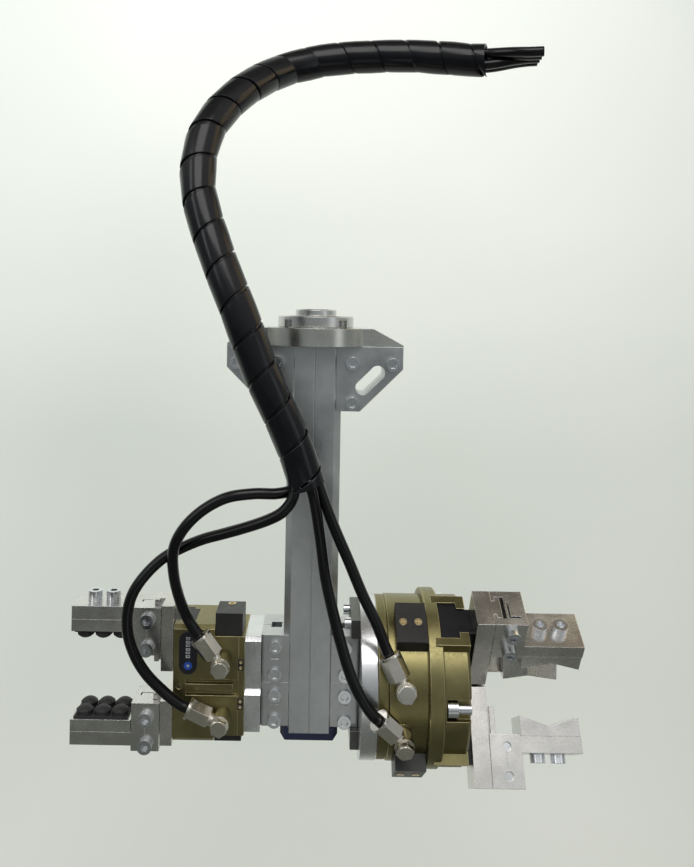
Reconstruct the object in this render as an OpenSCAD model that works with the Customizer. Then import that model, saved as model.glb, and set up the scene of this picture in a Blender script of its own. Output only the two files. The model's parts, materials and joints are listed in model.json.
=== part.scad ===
// End-of-arm tool: a robot flange, a column, a two-jaw parallel gripper on the left and a
// three-jaw centric gripper on the right, with four air hoses in a spiral-wrapped bundle.
// Units are millimetres. The origin is the centre of the tool flange's top face, +Z points up
// into the robot, +X points towards the three-jaw gripper, and -Y is the hose side.

/* [Flange and column] */
// Radius of the round tool flange
flange_r = 29; // [25:0.5:40]
// Thickness of the round tool flange
flange_t = 9; // [6:0.5:15]
// Radius of the centring spigot on the tool flange
spigot_r = 15.75; // [10:0.25:20]
// Height of the centring spigot
spigot_h = 5; // [3:0.5:8]
// Radius of the plate's round boss
boss_r = 40; // [36:1:50]
// Underside of the flange plate
plate_z = -22.4; // [-30:0.1:-18]
// Half width of the column across its flats
col_w = 20; // [15:1:30]
// Corner chamfer of the column
col_c = 5; // [2:0.5:8]
// Lower end of the column
col_z = -312; // [-340:1:-280]
// Height of both gripper axes
axis_z = -275; // [-300:1:-250]

/* [Two-jaw gripper] */
// Half height of the housing
lg_h = 43.4; // [30:0.2:60]
// Half depth of the housing
lg_d = 23; // [18:1:30]
// Cylinder bore radius
lg_bore = 17; // [12:0.5:20]
// Height of the rubber bumps
bump_h = 7.5; // [4:0.5:10]

/* [Three-jaw gripper] */
// Outside radius of the body
rg_r = 59; // [50:1:70]
// Radius of the ring behind the jaw guides
rg_ring = 64; // [59:0.5:70]
// Cylinder bore radius
rg_bore = 40; // [30:0.5:46]
// Half width of the guide lobes
lobe_w = 22; // [18:1:26]

/* [Fits and fittings] */
// Running clearance on each side of a guided piece
run = 0.05; // [0.02:0.01:0.1]
// Clearance square to the wedge faces
wedge_gap = 0.06; // [0.02:0.01:0.1]
// Hose radius
hose_r = 4; // [3:0.5:6]
// Radius of the wrapped hose bundle
wrap_r = 13; // [10:0.5:18]
// Width across the flats of the union nuts
nut_af = 14; // [12:0.5:17]

/* [Hidden] */
$fn = 48;

alu = [0.72, 0.73, 0.74];
olive = [0.42, 0.41, 0.24];
dark = [0.08, 0.08, 0.09];
zinc = [0.78, 0.8, 0.82];

// Route points of the hoses and the bundle, chosen by hand.
route_a = [[-81.15, -31.5, -236.33], [-85.36, -31.5, -230.74], [-90.5, -32.5, -221.5],
  [-95.5, -38.5, -205.5], [-98, -48, -186], [-97, -57, -166], [-90, -61, -150.5],
  [-77, -62, -137], [-60, -62, -127.5], [-41, -61, -124.5], [-25, -58, -124.8],
  [-13, -55.5, -122], [-7, -55.5, -115], [-6.5, -57, -108]];
route_b = [[-89.3, -31.5, -288.81], [-95.67, -31.5, -285.91], [-106.5, -34, -276],
  [-118, -39, -261.5], [-126, -43, -246], [-130.5, -46, -229.5], [-130.5, -47.5, -213],
  [-126.5, -48, -199], [-118, -47, -186.5], [-106.5, -45.5, -175.5], [-94, -46, -168],
  [-78, -48.5, -160.5], [-61, -53, -154.5], [-45, -58, -148.5], [-31, -62, -142.5],
  [-21, -64.5, -136.5], [-14.5, -65, -128.5], [-12.3, -64, -120.5], [-13.5, -63.5, -113]];
route_c = [[48.14, -69.16, -276.81], [43.27, -70.67, -272.01], [35, -71.5, -259.5],
  [28, -69.5, -245], [21.5, -65.5, -226], [15, -62, -203], [10, -61, -181.5],
  [6.7, -62, -160], [3.5, -64.5, -140], [0.5, -66.5, -124], [-2, -67, -115]];
route_d = [[55.7, -59.22, -236.39], [52.63, -57.76, -230.26], [46.5, -57, -215],
  [36.5, -58, -195], [26, -59.5, -170.5], [15.5, -60.5, -147], [7.5, -60.5, -127],
  [3.5, -60.5, -116], [1, -60.8, -109]];
route_w = [[-3.5, -61.5, -118], [-12, -64, -93], [-21, -66, -72], [-33, -67, -48],
  [-42, -67, -27], [-52, -66, 0], [-63, -62, 25], [-74, -56, 52], [-83, -50, 78],
  [-87, -44, 97], [-85, -35, 125], [-76, -20, 149], [-56, 4, 176], [-28, 38, 200.5],
  [4.5, 46, 211], [32.5, 46.5, 214], [65.5, 46, 215.5], [91, 42, 214], [113.5, 36, 210.5],
  [133, 30, 208], [155.5, 24, 209], [178, 20, 209.5]];

// Points on a Catmull-Rom line through p, with m steps in each span.
function spot(p, i, t) = let(
  n = len(p) - 1,
  a = i > 0 ? p[i - 1] : 2 * p[0] - p[1],
  b = p[i],
  c = p[i + 1],
  d = i + 2 <= n ? p[i + 2] : 2 * p[n] - p[n - 1])
  0.5 * (2 * b + (c - a) * t + (2 * a - 5 * b + 4 * c - d) * t * t
    + (3 * b - a - 3 * c + d) * t * t * t);
function line_of(p, m) = [for (i = [0 : len(p) - 2]) for (j = [0 : m - 1]) spot(p, i, j / m),
  p[len(p) - 1]];
function unit(v) = v / norm(v);
function way(q, i) = unit(i == 0 ? q[1] - q[0]
  : i == len(q) - 1 ? q[i] - q[i - 1] : q[i + 1] - q[i - 1]);

// A round tube swept along p, with s sides and m rings in each span.
module swept(p, r, s, m) {
  q = line_of(p, m);
  n = len(q);
  pts = [for (i = [0 : n - 1])
    let(w = way(q, i), e1 = unit(cross(w, [0.31, 1, 0.17])), e2 = cross(w, e1))
    for (k = [0 : s - 1]) q[i] + r * (cos(360 * k / s) * e1 + sin(360 * k / s) * e2)];
  sides = [for (i = [0 : n - 2]) for (k = [0 : s - 1])
    [i * s + k, i * s + (k + 1) % s, (i + 1) * s + (k + 1) % s, (i + 1) * s + k]];
  faces = concat(sides, [[for (k = [s - 1 : -1 : 0]) k]],
    [[for (k = [0 : s - 1]) (n - 1) * s + k]]);
  polyhedron(points = pts, faces = faces, convexity = 10);
}

// Aim +Z at the front, the rear, the left, the right or down.
module front() rotate([90, 0, 0]) children();
module left() rotate([0, -90, 0]) children();
module right() rotate([0, 90, 0]) children();
module down() rotate([180, 0, 0]) children();
// The three jaw directions of the right gripper: local Z is the radius and local Y the side.
module jaw(a) translate([0, 0, axis_z]) rotate([a, 0, 0]) children();
module on_axis() translate([0, 0, axis_z]) children();

// A socket cap screw: the head stands on z = 0 and the shank goes down.
module cap_screw(d, r, h, len, plain) {
  difference() {
    union() {
      cylinder(h = h, r = r);
      translate([0, 0, -len]) cylinder(h = len + h / 2, r = d / 2);
    }
    if (!plain) translate([0, 0, h * 0.4]) cylinder(h = h, r = d * 0.48, $fn = 6);
  }
}

// Extrude a profile drawn in the X-Z plane over y = -w to w.
module deep(w) rotate([90, 0, 0]) linear_extrude(height = 2 * w, center = true) children();

module octagon(w, c) polygon([[-w, -w + c], [-w + c, -w], [w - c, -w], [w, -w + c],
  [w, w - c], [w - c, w], [-w + c, w], [-w, w - c]]);

// ---------------------------------------------------------------- flange, plate and column
module tool_flange() color([0.8, 0.8, 0.8]) difference() {
  union() {
    rotate_extrude() polygon([[0, -flange_t], [flange_r - 0.8, -flange_t],
      [flange_r, -flange_t + 0.8], [flange_r, -0.8], [flange_r - 0.8, 0], [0, 0]]);
    rotate_extrude() polygon([[0, -1], [spigot_r, -1], [spigot_r, spigot_h - 0.8],
      [spigot_r - 0.8, spigot_h], [0, spigot_h]]);
  }
  for (a = [45 : 90 : 315]) rotate([0, 0, a]) translate([25, 0, 0]) {
    translate([0, 0, -flange_t - 1]) cylinder(h = flange_t + 2, r = 3.2);
    translate([0, 0, -flange_t - 1]) cylinder(h = 7, r = 5.5);
  }
  translate([25, 0, -5]) cylinder(h = 6, r = 3);
  plate_screws(true);
}

module plate_screws(plain) for (x = [-7.6, 7.6]) for (y = [-24.5, 24.5])
  translate([x, y, -16.4]) down() cap_screw(5, 4.25, 5, 14, plain);

module flange_plate() color(alu) difference() {
  union() {
    translate([0, 0, plate_z]) cylinder(h = -flange_t - plate_z, r = boss_r, $fn = 96);
    deep(19) polygon([[-66, plate_z], [66, plate_z], [66, plate_z + 1.4],
      [43.5, -flange_t], [-43.5, -flange_t], [-66, plate_z + 1.4]]);
  }
  for (x = [-7.6, 7.6]) for (y = [-24.5, 24.5]) translate([x, y, plate_z - 1])
    cylinder(h = 7, r = 4.25);
  plate_screws(true);
  gusset_top_screws(true);
}

module gusset_top_screws(plain) for (x = [-36, 36]) for (y = [-10, 10])
  translate([x, y, -15.2]) cap_screw(6, 5, 6, 21, plain);

module gusset_front_screws(plain) for (s = [-1, 1]) {
  translate([s * 28, -19, -35]) front() cap_screw(6, 5, 6, 30, plain);
  translate([s * 58, -19, -35.5]) front() cap_screw(6, 5, 6, 30, plain);
  translate([s * 28, -19, -65]) front() cap_screw(6, 5, 6, 30, plain);
}

module gusset() difference() {
  deep(19) polygon([[15.4, plate_z], [66, plate_z], [66, -39], [34, -71], [15.4, -71]]);
  translate([0, 0, -80]) linear_extrude(height = 70) octagon(col_w, col_c);
  deep(25) union() {
    translate([36, -53]) circle(r = 5.5);
    translate([47, -42]) circle(r = 5.5);
    translate([41.5, -47.5]) rotate(45) square([15.556, 10.8], center = true);
  }
  translate([14, -0.6, -72]) cube([19, 1.2, 51]);
}

module gusset_left() color(alu) difference() {
  mirror([1, 0, 0]) gusset();
  gusset_front_screws(true);
  gusset_top_screws(true);
}

module gusset_right() color(alu) difference() {
  gusset();
  gusset_front_screws(true);
  gusset_top_screws(true);
}

module column() color([0.7, 0.72, 0.73]) difference() {
  translate([0, 0, col_z]) linear_extrude(height = plate_z - col_z) difference() {
    octagon(col_w, col_c);
    for (s = [-1, 1]) translate([0, s * col_w]) square([0.8, 0.8], center = true);
    for (s = [-1, 1]) translate([s * col_w, 0]) {
      square([9, 8], center = true);
      translate([-s * 6.5, 0]) square([5, 16], center = true);
    }
    circle(r = 4.2);
  }
}

module column_end_cap() color([0.04, 0.05, 0.16]) difference() {
  union() {
    translate([0, 0, -317]) linear_extrude(height = 9.5) polygon([[-21.5, -16], [-18, -20],
      [18, -20], [21.5, -16], [21.5, 16], [18, 20], [-18, 20], [-21.5, 16]]);
  }
  translate([0, 0, col_z]) linear_extrude(height = 10) octagon(col_w, col_c);
  for (s = [-1, 1]) deep(30) polygon([[s * 17, -318], [s * 23, -318], [s * 23, -312]]);
}

// ---------------------------------------------------------------- column clamps
clamp_zs = [-248, -268.5, -284, -303];

module clamp_screws(plain) for (x = [-26, 26.4]) for (z = clamp_zs)
  translate([x, -19.5, z]) front() cap_screw(6, 5, 2.4, 33, plain);

// One split block: s is the side, x1 its far face, and z0 to z1 its height.
module clamp_block(s, x1, z0, z1) difference() {
  intersection() {
    translate([s > 0 ? 15.5 : -x1, -19.5, z0]) cube([x1 - 15.5, 42.5, z1 - z0]);
    union() {
      translate([s > 0 ? 10 : -x1 - 1, -17.5, z0]) cube([x1 - 9, 60, z1 - z0]);
      translate([s > 0 ? 10 : -x1 + 2, -30, z0]) cube([x1 - 12, 60, z1 - z0]);
      translate([s * (x1 - 2), -17.5, z0]) cylinder(h = z1 - z0, r = 2);
    }
  }
  translate([0, 0, z0 - 1]) linear_extrude(height = z1 - z0 + 2) octagon(col_w, col_c);
  translate([s > 0 ? 21.5 : -30, -4, z0 - 1]) cube([8, 11, z1 - z0 + 2]);
  translate([s > 0 ? 29 : -40, 0.6, z0 - 1]) cube([12, 1, z1 - z0 + 2]);
  translate([s * 26 - 3, -20, (z0 + z1) / 2 - 0.4]) cube([6, 0.9, 0.8]);
  clamp_screws(true);
  adapter_screws(true);
}

module clamp_left_upper() color(alu) clamp_block(-1, 36.4, -274.4, -239);
module clamp_left_lower() color(alu) clamp_block(-1, 36.4, -307, -274.4);
// The right blocks carry a lip that covers the front edge of the adapter plate.
module clamp_right(z0, z1) difference() {
  clamp_block(1, 36.8, z0, z1);
  translate([30.6, -16, z0 - 1]) cube([8, 60, z1 - z0 + 2]);
}

module clamp_right_upper() color(alu) clamp_right(-274.4, -239);
module clamp_right_lower() color(alu) clamp_right(-307, -274.4);

module left_adapter_plate() color(alu) difference() {
  translate([-48.4, -23, -310]) cube([12, 46, 70]);
  translate([-50, -24, -280]) cube([16, 5, 13]);
  deep_x(-50, 16) polygon([[-23.1, -239.9], [-20, -239.9], [-23.1, -243]]);
  deep_x(-50, 16) polygon([[-23.1, -279.9], [-23.1, -283], [-20, -279.9]]);
  adapter_screws(true);
  tie_screws(true);
}

// Extrude a profile drawn in the Y-Z plane from x over l.
module deep_x(x, l) translate([x, 0, 0]) rotate([90, 0, 90]) linear_extrude(height = l)
  children();

module flat_screw(d, len) {
  translate([0, 0, -len]) cylinder(h = len - 1, r = d / 2);
  translate([0, 0, -2.6]) cylinder(h = 2.6, r1 = d / 2, r2 = d / 2 + 2.6);
}

module adapter_screws(plain) {
  for (y = [-13, 14]) for (z = [-256, -297])
    translate([-42.8, y, z]) left() cap_screw(5, 4.25, 5, 11.6, plain);
  for (y = [-9.6, 14]) for (z = [-256, -297]) difference() {
    translate([37, y, z]) right() flat_screw(5, 13);
    if (!plain) translate([35.6, y, z]) right() cylinder(h = 3, r = 1.7, $fn = 6);
  }
  for (y = [-15, 15]) {
    translate([30.6, y, -231]) left() cap_screw(5, 4.25, 5, 14, plain);
    difference() {
      translate([30.6, y, -315]) left() flat_screw(5, 14);
      if (!plain) translate([32, y, -315]) left() cylinder(h = 3, r = 1.7, $fn = 6);
    }
  }
}

module right_adapter_plate() color([0.25, 0.25, 0.25]) difference() {
  translate([30.6, -25, -321]) cube([6.4, 50, 96]);
  translate([30, -26, -307.2]) cube([8, 10.2, 68.4]);
  adapter_screws(true);
}

module body_screws(plain) for (a = [90, 210, 330]) jaw(a)
  translate([42.5, 0, 50.5]) left() cap_screw(5, 4.25, 5, 48, plain);

module m5_screws() color(zinc) {
  plate_screws(false);
  adapter_screws(false);
  body_screws(false);
}

module m6_cap_screws() color(zinc) {
  gusset_front_screws(false);
  gusset_top_screws(false);
  clamp_screws(false);
}

// ---------------------------------------------------------------- two-jaw gripper
module tie_screws(plain) on_axis() for (y = [-19.2, 19.2]) for (z = [-32, 32])
  translate([-97.5, y, z]) left() cap_screw(4, 3.2, 4, 57, plain);

module m4_tie_screws() color(zinc) tie_screws(false);

// The T-shaped channel that guides both base jaws, w wider on each side.
module left_channel(w) translate([0, 0, axis_z - 60]) linear_extrude(height = 120) union() {
  translate([-103, -12 - w]) square([12.5, 24 + 2 * w]);
  translate([-97 - w, -16 - w]) square([6 + 2 * w, 32 + 2 * w]);
  translate([-92, -12 - w]) square([5.5 + w, 24 + 2 * w]);
}

module left_housing() color(olive) difference() {
  translate([-101.5, -lg_d, axis_z - lg_h]) cube([48.5, 2 * lg_d, 2 * lg_h]);
  for (m = [0, 1]) for (k = [0, 1]) translate([0, 0, axis_z]) mirror([0, m, 0])
    mirror([0, 0, k]) deep_x(-104, 60) polygon([[-lg_d - 0.1, lg_h - 3], [-lg_d, lg_h - 3],
      [-lg_d + 3, lg_h], [-lg_d + 3, lg_h + 0.1], [-lg_d - 0.1, lg_h + 0.1]]);
  // the rear part is lower than the front part
  translate([-71, -30, -239.4]) cube([30, 60, 20]);
  translate([-71, -30, -333]) cube([30, 60, 20]);
  left_channel(run);
  translate([-93, -12.1, axis_z - 28.6]) cube([17, 24.2, 57.2]);
  translate([-71.5, 0, axis_z]) right() cylinder(h = 20, r = lg_bore + run);
  translate([-80, 0, axis_z]) right() cylinder(h = 20, r = 7 + run);
  // air ports and their drillings
  translate([-65.2, -15.5, -257.5]) front() cylinder(h = 10, r = 4.9);
  translate([-65.2, -15.5, -299.8]) front() cylinder(h = 10, r = 4.9);
  translate([-66, -17.5, -259.5]) right() cylinder(h = 11.5, r = 1.5);
  translate([-56, -9, -259.5]) front() cylinder(h = 8.5, r = 1.5);
  translate([-70.3, -4, -302]) front() cylinder(h = 13, r = 1);
  translate([-70.3, -4, -302]) cylinder(h = 14, r = 1);
  // sensor grooves and the pockets at the rear edge
  for (z = [-273.4, -281.8]) translate([-92, -lg_d - 1, z - 1.7]) cube([36, 5, 3.4]);
  translate([-57, -lg_d - 1, -283.5]) cube([4.1, 4, 11.8]);
  rear_inserts();
  translate([-97, -lg_d + 2.4, -277]) front() cylinder(h = 4, r = 2.2);
  translate([0, 0, 0]) label_shape(0.6);
  sensor_screw_set(true);
  tie_screws(true);
}

module label_shape(t) translate([-90.5, -lg_d + t - 0.6 + 0.0, 0]) front()
  linear_extrude(height = 0.6) union() {
    translate([0, -243]) circle(r = 6.8);
    translate([0, -261]) circle(r = 6.8);
    translate([-6.8, -261]) square([13.6, 18]);
  }

module left_label() color([0.05, 0.05, 0.2]) label_shape(0.6);

// Two black inserts set into the front face where the cover meets the housing.
module rear_inserts() for (z = [-264.7, -293.8])
  translate([-53.4, -lg_d - 0.3, z]) cube([4.2, 2.3, 8.6]);

module left_rear_cover() color(olive) difference() {
  translate([-53, -lg_d, -313]) cube([4.6, 2 * lg_d, 73.6]);
  rear_inserts();
  sensor_screw_set(true);
  tie_screws(true);
}

// Band between two distances from the wedge face, drawn for the upper jaw of the left gripper.
module left_band(n0, n1) polygon([[-112, -10 + n0 * 1.41421], [-70, 32 + n0 * 1.41421],
  [-70, 32 + n1 * 1.41421], [-112, -10 + n1 * 1.41421]]);

module left_piston() color([0.7, 0.7, 0.72]) on_axis() difference() {
  union() {
    translate([-69.5, 0, 0]) right() cylinder(h = 9, r = lg_bore);
    translate([-84, 0, 0]) right() cylinder(h = 15, r = 7);
    deep(10) polygon([[-99, 3], [-83, 19], [-83, -19], [-99, -3]]);
    for (m = [0, 1]) mirror([0, 0, m]) intersection() {
      union() {
        deep(3.5) left_band(-1, 3.5);
        deep(7) left_band(3, 6);
      }
      translate([-99, -20, 0]) cube([16, 40, 60]);
    }
  }
  translate([-66, 0, 0]) right() rotate_extrude() translate([lg_bore - 1.6, 0]) square([3, 2.4]);
}

// One base jaw of the left gripper, drawn for the upper side.
module left_base() difference() {
  intersection() {
    union() {
      translate([-102, -12, 6.5]) cube([15, 24, 36.7]);
      translate([-97, -16, 6.5]) cube([6, 32, 36.7]);
    }
    deep(20) left_band(wedge_gap, 60);
  }
  deep(3.5 + wedge_gap) left_band(-1, 3.5);
  deep(7 + wedge_gap) left_band(3 - wedge_gap, 6 + wedge_gap);
}

module left_base_screws(plain) for (z = [24.5, 36])
  translate([-105.6, 0, z]) left() cap_screw(5, 4.25, 5, 12, plain);

// Clamp and finger screws of a left jaw: z values of the clamp screws, then arm top and way.
module left_jaw_screws(zs, za, s, plain) on_axis() {
  for (z = zs) translate([-123, -13, z]) front() cap_screw(6, 5.5, 6, 24, plain);
  for (x = [-166, -152]) translate([x, 0, za]) mirror([0, 0, s > 0 ? 0 : 1])
    cap_screw(6, 5.5, s > 0 ? 7.5 : 5, 14, plain);
  mirror([0, 0, s > 0 ? 0 : 1]) left_base_screws(plain);
}

module rail_head(w0, w1) union() {
  translate([-115.2, -w0]) square([4.6, 2 * w0]);
  translate([-118.6, -w1]) square([3.6, 2 * w1]);
}

// Rail plate of a left jaw between heights z0 and z1, with its rail from r0 to r1.
module left_rail(z0, z1, r0, r1) union() {
  translate([-111, -22, z0]) cube([9, 44, z1 - z0]);
  translate([0, 0, r0]) linear_extrude(height = r1 - r0) rail_head(5, 8.5);
}

// Clamp block and arm in one piece: block from b0 to b1, arm from a0 to a1.
module left_finger(b0, b1, a0, a1) difference() {
  union() {
    difference() {
      translate([-134, -15, b0]) cube([21.2, 30, b1 - b0]);
      translate([0, 0, b0 - 1]) linear_extrude(height = b1 - b0 + 2) union() {
        translate([-115, -5]) square([4, 10]);
        translate([-119, -9.2]) square([4, 18.4]);
        translate([-130, 2]) square([12, 1.2]);
        translate([-130, -1.5]) square([1.2, 4]);
      }
    }
    translate([-180, -15, a0]) cube([46.5, 30, a1 - a0]);
  }
  translate([-123.6, -15.6, b0 + 9]) cube([1.2, 1, b1 - b0 - 18]);
}

module left_jaw_upper_base() color(dark) on_axis() difference() {
  left_base();
  left_base_screws(true);
}

module left_jaw_upper_rail() color(alu) difference() {
  on_axis() left_rail(8.5, 57, 10, 57);
  on_axis() for (z = [24.5, 36]) translate([-123, 0, z]) right() cylinder(h = 17.4, r = 4.25);
  left_jaw_screws([22.5, 43.5], 53.5, 1, true);
}

module left_jaw_upper_finger() color(alu) difference() {
  on_axis() left_finger(17, 53, 43.5, 53.5);
  left_jaw_screws([22.5, 43.5], 53.5, 1, true);
}

module left_jaw_upper_pad_plate() color(alu) difference() {
  translate([-180, -15, axis_z + 34.5]) cube([45.5, 30, 9]);
  left_jaw_screws([22.5, 43.5], 53.5, 1, true);
}

// Two rows of three round bumps on a thin web, standing on z = 0.
module bumps() {
  translate([-178, -13, 0]) cube([41, 26, 1.5]);
  for (x = [-171, -157.4, -143.8]) for (y = [-6.6, 6.6]) translate([x, y, 0]) {
    cylinder(h = bump_h - 3, r = 6.3);
    translate([0, 0, bump_h - 7.8]) intersection() {
      sphere(r = 7.8);
      translate([-6.3, -6.3, 0.3]) cube([12.6, 12.6, 8]);
      cylinder(h = 9, r = 6.3);
    }
  }
}

module left_jaw_upper_pads() color([0.02, 0.02, 0.02]) translate([0, 0, axis_z + 34.5])
  mirror([0, 0, 1]) bumps();

module left_jaw_upper_screws() color(zinc) left_jaw_screws([22.5, 43.5], 53.5, 1, false);

module left_jaw_lower_base() color(dark) on_axis() mirror([0, 0, 1]) difference() {
  left_base();
  left_base_screws(true);
}

module left_jaw_lower_rail() color(alu) difference() {
  on_axis() left_rail(-47, -14, -47, -14);
  on_axis() for (z = [-24.5, -36]) translate([-123, 0, z]) right()
    cylinder(h = 17.4, r = 4.25);
  left_jaw_screws([-30.5, -50.5], -51, -1, true);
}

module left_jaw_lower_finger() color(alu) difference() {
  on_axis() left_finger(-55, -19, -51, -41);
  left_jaw_screws([-30.5, -50.5], -51, -1, true);
}

module left_jaw_lower_pad_plate() color(alu) difference() {
  translate([-180, -15, axis_z - 41]) cube([45.5, 30, 9]);
  left_jaw_screws([-30.5, -50.5], -51, -1, true);
}

module left_jaw_lower_pads() color([0.02, 0.02, 0.02]) translate([0, 0, axis_z - 32]) bumps();

module left_jaw_lower_screws() color(zinc) left_jaw_screws([-30.5, -50.5], -51, -1, false);

// ---------------------------------------------------------------- three-jaw gripper
module right_base_disc() color([0.75, 0.76, 0.78]) difference() {
  on_axis() right() rotate_extrude($fn = 96) polygon([[0, 37], [rg_r, 37], [rg_r, 48.5],
    [rg_r - 1, 49.5], [0, 49.5]]);
  adapter_screws(true);
  body_screws(true);
  jaw(90) translate([36, 0, 50.5]) right() cylinder(h = 3, r = 4.25);
  jaw(210) translate([36, 0, 50.5]) right() cylinder(h = 3, r = 4.25);
  jaw(330) translate([36, 0, 50.5]) right() cylinder(h = 3, r = 4.25);
}

module right_body() color(olive) difference() {
  on_axis() difference() {
    right() rotate_extrude($fn = 96) polygon([[0, 49.5], [rg_r - 0.8, 49.5], [rg_r - 0.8, 55.6],
      [rg_r - 1.6, 56], [rg_r - 0.8, 56.4], [rg_r, 57], [rg_r, 84.4], [0, 84.4]]);
    translate([49, 0, 0]) right() cylinder(h = 21, r = rg_bore + run, $fn = 96);
    translate([60, 0, 0]) right() cylinder(h = 20, r = 12 + run);
    translate([76, 0, 0]) right() cylinder(h = 20, r = 43);
  }
  // flats and ports for the two air fittings
  for (f = right_ports) jaw(f[0]) {
    translate([f[1], 0, 58]) cylinder(h = 5, r = 7.6);
    translate([f[1], 0, 50.5]) cylinder(h = 10, r = 4.9);
  }
  jaw(right_ports[0][0]) {
    translate([51.2, 0, 52]) right() cylinder(h = 13, r = 1.7);
    translate([53.4, 0, 38]) cylinder(h = 14, r = 1.2);
  }
  jaw(right_ports[1][0]) {
    translate([65, 0, 52]) right() cylinder(h = 4.6, r = 0.9);
    translate([69, 0, 38]) cylinder(h = 14, r = 0.9);
  }
  for (a = [36, 144]) jaw(a) translate([62, -16, 56]) cube([23, 32, 8]);
  body_screws(true);
  sensor_screw_set(true);
}

// Each air port of the right gripper: its angle about the axis, its X, and its nut's turn.
right_ports = [[76.6, 67.3, 116], [107.5, 66.6, 134]];

module right_channel(w) {
  translate([94 - w, -15.5 - w, -4]) cube([14 + 2 * w, 31 + 2 * w, 90]);
  translate([107, -10.5 - w, -4]) cube([20, 21 + 2 * w, 90]);
}

module right_jaw_guide() color(olive) difference() {
  on_axis() {
    right() rotate_extrude($fn = 96) polygon([[0, 84.4], [rg_ring - 0.8, 84.4],
      [rg_ring, 85.2], [rg_ring, 94.6], [rg_ring - 0.8, 95.4], [rg_r, 95.4], [rg_r, 112.5],
      [rg_r - 2, 114.5], [0, 114.5]]);
    for (a = [30, 150, 270]) rotate([a, 0, 0]) translate([90, -lobe_w, 20])
      cube([24.5, 2 * lobe_w, 42]);
  }
  for (a = [30, 150, 270]) jaw(a) right_channel(run);
  on_axis() translate([84, 0, 0]) right() cylinder(h = 16, r = 43);
  for (a = [90, 210, 330]) jaw(a) {
    translate([97, -7.7, 48.8]) cube([8, 15.4, 20]);
    translate([104.9, -7.7, 53.6]) cube([12, 15.4, 20]);
  }
  body_screws(true);
  guide_screws(true);
}

module guide_screws(plain) for (a = [90, 210, 330]) jaw(a) {
  translate([105, 0, 55.2]) left() cap_screw(7.6, 6, 7.4, 9.5, plain);
}

module m8_cap_screws() color(zinc) guide_screws(false);

// Band between two distances from a wedge face of the right gripper.
module right_band(n0, n1) polygon([[60, 62 + n0 * 1.41421], [130, -8 + n0 * 1.41421],
  [130, -8 + n1 * 1.41421], [60, 62 + n1 * 1.41421]]);

module right_piston() color([0.7, 0.7, 0.72]) on_axis() difference() {
  union() {
    translate([51, 0, 0]) right() cylinder(h = 5, r = rg_bore - 2.5, $fn = 96);
    translate([55.5, 0, 0]) right() cylinder(h = 4.8, r = rg_bore, $fn = 96);
    translate([59, 0, 0]) right() cylinder(h = 33, r = 12);
    for (a = [30, 150, 270]) rotate([a, 0, 0]) {
      deep(9) polygon([[91, -2], [91, 31], [110, 12], [110, -2]]);
      intersection() {
        union() {
          deep(4) right_band(-1, 4);
          deep(8) right_band(3.5, 7);
        }
        translate([91, -20, 0]) cube([19, 40, 60]);
      }
    }
  }
  translate([56.8, 0, 0]) right() rotate_extrude($fn = 96) translate([rg_bore - 2.2, 0])
    square([4, 2.2]);
}

module right_base(a) color(dark) difference() {
  jaw(a) difference() {
    intersection() {
      union() {
        translate([94, -15.5, 18]) cube([14, 31, 43]);
        translate([107, -10.5, 18]) cube([12, 21, 43]);
      }
      deep(20) right_band(wedge_gap, 80);
    }
    deep(4 + wedge_gap) right_band(-1, 4);
    deep(8 + wedge_gap) right_band(3.5 - wedge_gap, 7 + wedge_gap);
  }
  right_jaw_screws(a, true);
}

module right_jaw_screws(a, plain) jaw(a) {
  for (r = [34, 53]) translate([125.6, 0, r]) right() cap_screw(5, 4.25, 5, 16, plain);
  for (r = [49, 68]) translate([144.4, -15, r]) front()
    cap_screw(6, 5.5, 6, plain ? 31 : 28.4, plain);
  for (x = [169, 184]) translate([x, 0, 53]) cap_screw(6, 5.5, 6, 17, plain);
}

module right_rail(a) color(alu) difference() {
  jaw(a) {
    intersection() {
      translate([119, -15, 0]) cube([12.7, 30, 76]);
      translate([110, 0, 0]) rotate([90, 0, 90]) linear_extrude(height = 30)
        polygon([[0, 1.2], [48, 28.9], [48, 100], [-48, 100], [-48, 28.9]]);
    }
    translate([0, 0, 22]) linear_extrude(height = 54) union() {
      translate([130, -6]) square([4.6, 12]);
      translate([134.4, -9]) square([3.6, 18]);
    }
  }
  jaw(a) for (r = [34, 53]) translate([130, 0, r]) right() cylinder(h = 12, r = 4.25);
  right_jaw_screws(a, true);
}

module right_finger(a) color(alu) difference() {
  jaw(a) {
    difference() {
      translate([132, -15, 41]) cube([23, 30, 35]);
      translate([0, 0, 40]) linear_extrude(height = 38) union() {
        translate([131, -6]) square([3.4, 12]);
        translate([134.4, -9.7]) square([6.4, 19.4]);
        translate([142.4, -9]) square([1.5, 14]);
        translate([142.4, -9]) square([8.6, 1.5]);
      }
      translate([144 - 0.6, -15.6, 54.5]) cube([1.2, 1, 8]);
      translate([144 - 0.6, 14.6, 52.5]) cube([1.2, 1, 12]);
    }
    translate([154.5, -15, 42]) cube([44.5, 30, 11]);
  }
  right_jaw_screws(a, true);
}

module right_vee(a) color(alu) difference() {
  jaw(a) deep(15) polygon([[155.5, 42], [155.5, 28.5], [177, 35.5], [198.5, 28.5],
    [198.5, 42]]);
  right_jaw_screws(a, true);
}

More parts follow.
